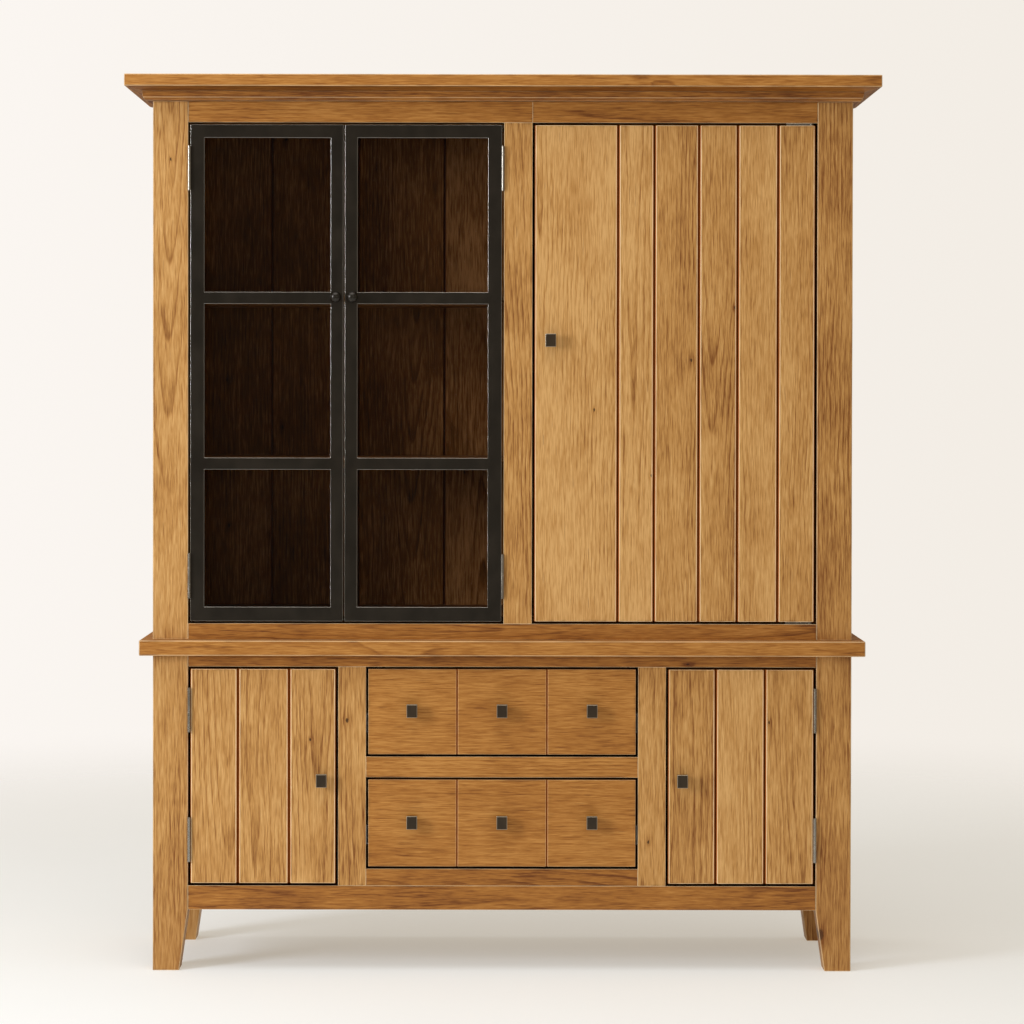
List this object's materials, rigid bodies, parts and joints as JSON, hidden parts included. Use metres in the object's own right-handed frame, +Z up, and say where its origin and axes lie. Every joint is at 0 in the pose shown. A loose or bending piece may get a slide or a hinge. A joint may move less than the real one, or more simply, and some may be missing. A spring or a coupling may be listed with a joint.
{
  "type": "pantry cabinet",
  "caption": "Two-piece wooden pantry cabinet: a hutch with glazed steel doors and a plank door, on a legged base with plank doors and drawers.",
  "frame": {"origin": "middle of the bounding box, on the floor", "axes": "+Z up, the doors face -Y, +X to the right of someone facing the doors"},
  "size_m": [1.804, 0.522, 2.149],
  "materials": {
    "honey_wood": "satin lacquered knotty pine, vertical boards",
    "rail_wood": "satin lacquered pine, horizontal rails, slightly darker",
    "inside_wood": "dark stained boards",
    "drawer_box_wood": "plain sanded softwood",
    "gunmetal_steel": "satin gunmetal paint",
    "bronze_knob": "dark oiled bronze",
    "hinge_steel": "blackened steel",
    "slide_zinc": "zinc plated",
    "glass": "clear float glass",
    "catch_plastic": "moulded brown plastic"
  },
  "bodies": {
    "carcass": {"base_front_posts": "honey_wood", "base_back_posts": "honey_wood", "base_bottom_rail": "rail_wood", "base_top_rail": "rail_wood", "base_drawer_rails": "rail_wood", "base_middle_stiles": "honey_wood", "base_side_rails": "rail_wood", "base_side_panels": "honey_wood", "base_partitions": "inside_wood", "base_shelves": "inside_wood", "base_back_rails": "rail_wood", "base_back_boards": "inside_wood", "base_floor_panel": "inside_wood", "waist_top": "rail_wood", "hutch_outer_stiles": "honey_wood", "hutch_middle_stile": "honey_wood", "hutch_bottom_rail": "rail_wood", "hutch_top_rail": "rail_wood", "hutch_side_frames": "honey_wood", "hutch_side_panels": "honey_wood", "hutch_partition": "inside_wood", "hutch_floor_and_roof": "inside_wood", "hutch_back_boards": "inside_wood", "hutch_shelves": "inside_wood", "crown_cap": "rail_wood", "crown_mouldings": "rail_wood", "door_stops": "inside_wood", "door_catches": "catch_plastic", "shelf_pins": "hinge_steel", "drawer_channels": "slide_zinc", "hinge_frame_leaves": "hinge_steel", "hinge_pins": "hinge_steel"},
    "glass_door_left": {"glass_door_left_frame": "gunmetal_steel", "glass_door_left_pane": "glass", "glass_door_left_knob": "bronze_knob", "glass_door_left_fittings": "hinge_steel"},
    "base_door_left": {"base_door_left_planks": "honey_wood", "base_door_left_battens": "honey_wood", "base_door_left_knob": "bronze_knob", "base_door_left_fittings": "hinge_steel"},
    "glass_door_right": {"glass_door_right_frame": "gunmetal_steel", "glass_door_right_pane": "glass", "glass_door_right_knob": "bronze_knob", "glass_door_right_fittings": "hinge_steel"},
    "base_door_right": {"base_door_right_planks": "honey_wood", "base_door_right_battens": "honey_wood", "base_door_right_knob": "bronze_knob", "base_door_right_fittings": "hinge_steel"},
    "plank_door": {"plank_door_planks": "honey_wood", "plank_door_battens": "honey_wood", "plank_door_knob": "bronze_knob", "plank_door_fittings": "hinge_steel"},
    "upper_drawer": {"upper_drawer_front": "rail_wood", "upper_drawer_box": "drawer_box_wood", "upper_drawer_knobs": "bronze_knob", "upper_drawer_runners": "slide_zinc"},
    "lower_drawer": {"lower_drawer_front": "rail_wood", "lower_drawer_box": "drawer_box_wood", "lower_drawer_knobs": "bronze_knob", "lower_drawer_runners": "slide_zinc"}
  },
  "joints": [
    {"name": "glass_door_left_hinge", "type": "hinge", "parent": "carcass", "child": "glass_door_left", "pos_m": [-0.75225, -0.203, 0], "axis": [0, 0, -1], "range_deg": [0, 150]},
    {"name": "glass_door_right_hinge", "type": "hinge", "parent": "carcass", "child": "glass_door_right", "pos_m": [0.00025, -0.203, 0], "axis": [0, 0, 1], "range_deg": [0, 150]},
    {"name": "plank_door_pivot", "type": "hinge", "parent": "carcass", "child": "plank_door", "pos_m": [0.7395, -0.191, 0], "axis": [0, 0, 1], "range_deg": [0, 110]},
    {"name": "base_door_left_hinge", "type": "hinge", "parent": "carcass", "child": "base_door_left", "pos_m": [-0.75225, -0.203, 0], "axis": [0, 0, -1], "range_deg": [0, 150]},
    {"name": "base_door_right_hinge", "type": "hinge", "parent": "carcass", "child": "base_door_right", "pos_m": [0.75225, -0.203, 0], "axis": [0, 0, 1], "range_deg": [0, 150]},
    {"name": "upper_drawer_slide", "type": "slide", "parent": "carcass", "child": "upper_drawer", "axis": [0, -1, 0], "range_m": [0, 0.32]},
    {"name": "lower_drawer_slide", "type": "slide", "parent": "carcass", "child": "lower_drawer", "axis": [0, -1, 0], "range_m": [0, 0.32]}
  ]
}
